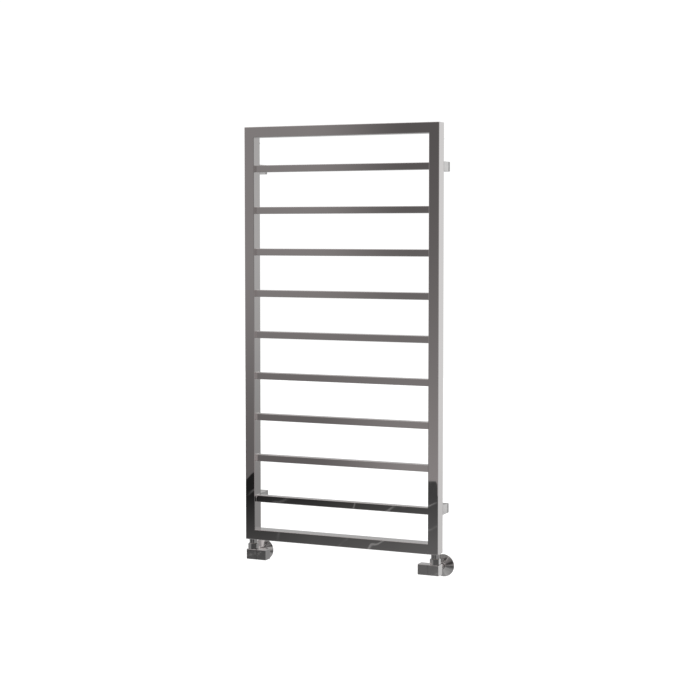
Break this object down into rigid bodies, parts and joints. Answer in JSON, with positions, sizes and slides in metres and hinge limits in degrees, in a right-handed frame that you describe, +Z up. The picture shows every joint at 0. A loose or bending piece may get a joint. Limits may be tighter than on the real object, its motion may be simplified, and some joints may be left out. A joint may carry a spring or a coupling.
{
  "type": "towel warmer rack",
  "caption": "Wall-hung ladder towel warmer: chrome rectangular frame with square rungs, telescoping wall brackets and square corner valves with escutcheons.",
  "frame": {"origin": "middle of the four wall screw holes, on the wall's face", "axes": "+X to the viewer's right along the rungs, +Y into the wall, +Z up along the uprights"},
  "size_m": [0.634, 0.112, 1.277],
  "materials": {
    "frame_chrome": "bright chrome plate on steel tube",
    "fitting_chrome": "bright chrome plate on brass and zinc fittings",
    "wall_base_metal": "satin chrome plate on cast zinc",
    "pipe_chrome": "bright chrome plate on copper tube",
    "steel": "bare and zinc-plated steel",
    "brass": "turned brass",
    "rubber": "matt black rubber",
    "clip_plastic": "moulded white plastic"
  },
  "bodies": {
    "wall_fixings": {"upper_left_wall_base": "wall_base_metal", "upper_right_wall_base": "wall_base_metal", "lower_left_wall_base": "wall_base_metal", "lower_right_wall_base": "wall_base_metal", "left_pipe": "pipe_chrome", "right_pipe": "pipe_chrome"},
    "control_head": {"control_head": "fitting_chrome", "control_head_screw": "steel", "right_spindle": "brass"},
    "control_disc": {"right_valve_disc": "brass", "right_seat_washer": "rubber"},
    "lockshield_cap": {"lockshield_cap": "fitting_chrome", "lockshield_cap_clip": "clip_plastic"},
    "lockshield_spindle": {"left_spindle": "brass"},
    "lockshield_disc": {"left_valve_disc": "brass", "left_seat_washer": "rubber"},
    "bleed_screw": {"bleed_screw": "brass"},
    "left_escutcheon": {"left_escutcheon": "fitting_chrome"},
    "right_escutcheon": {"right_escutcheon": "fitting_chrome"},
    "rack": {"left_upright": "frame_chrome", "right_upright": "frame_chrome", "top_bar": "frame_chrome", "bottom_bar": "frame_chrome", "top_caps": "frame_chrome", "left_inlet_boss": "frame_chrome", "right_inlet_boss": "frame_chrome", "rung_1": "frame_chrome", "rung_2": "frame_chrome", "rung_3": "frame_chrome", "rung_4": "frame_chrome", "rung_5": "frame_chrome", "rung_6": "frame_chrome", "rung_7": "frame_chrome", "rung_8": "frame_chrome", "rung_9": "frame_chrome", "port_bosses": "steel", "bracket_bushes": "steel", "bracket_bolts": "steel", "bracket_grub_screws": "steel", "air_vent": "fitting_chrome", "blanking_plug": "fitting_chrome", "union_nuts": "fitting_chrome", "compression_nuts": "fitting_chrome", "upper_left_sleeve": "fitting_chrome", "upper_right_sleeve": "fitting_chrome", "lower_left_sleeve": "fitting_chrome", "lower_right_sleeve": "fitting_chrome", "left_valve_body": "fitting_chrome", "right_valve_body": "fitting_chrome", "left_tail_cover": "fitting_chrome", "right_tail_cover": "fitting_chrome", "olives": "brass", "left_bonnet": "brass", "left_tail": "brass", "right_bonnet": "brass", "right_tail": "brass", "port_o_rings": "rubber", "spindle_seals": "rubber", "union_washers": "rubber"}
  },
  "joints": [
    {"name": "wall_distance_slide", "type": "slide", "parent": "wall_fixings", "child": "rack", "axis": [0, -1, 0], "range_m": [0, 0.01]},
    {"name": "control_head_turn", "type": "hinge", "parent": "rack", "child": "control_head", "pos_m": [0.285, -0.067, -0.645], "axis": [-1, 0, 0], "range_deg": [0, 720]},
    {"name": "control_disc_lift", "type": "slide", "parent": "rack", "child": "control_disc", "axis": [-1, 0, 0], "range_m": [0, 0.003]},
    {"name": "lockshield_cap_pull", "type": "slide", "parent": "rack", "child": "lockshield_cap", "axis": [1, 0, 0], "range_m": [0, 0.03]},
    {"name": "lockshield_spindle_turn", "type": "hinge", "parent": "rack", "child": "lockshield_spindle", "pos_m": [-0.285, -0.067, -0.645], "axis": [1, 0, 0], "range_deg": [0, 720]},
    {"name": "lockshield_disc_lift", "type": "slide", "parent": "rack", "child": "lockshield_disc", "axis": [1, 0, 0], "range_m": [0, 0.003]},
    {"name": "bleed_screw_turn", "type": "hinge", "parent": "rack", "child": "bleed_screw", "pos_m": [-0.285, -0.041, 0.555], "axis": [0, 1, 0], "range_deg": [0, 360]},
    {"name": "left_escutcheon_slide", "type": "slide", "parent": "wall_fixings", "child": "left_escutcheon", "axis": [0, -1, 0], "range_m": [0, 0.022]},
    {"name": "right_escutcheon_slide", "type": "slide", "parent": "wall_fixings", "child": "right_escutcheon", "axis": [0, -1, 0], "range_m": [0, 0.022]}
  ],
  "couplings": [
    {"joint": "control_disc_lift", "follows": "control_head_turn", "m_per_rad": 0.00023873},
    {"joint": "lockshield_disc_lift", "follows": "lockshield_spindle_turn", "m_per_rad": 0.00023873}
  ]
}
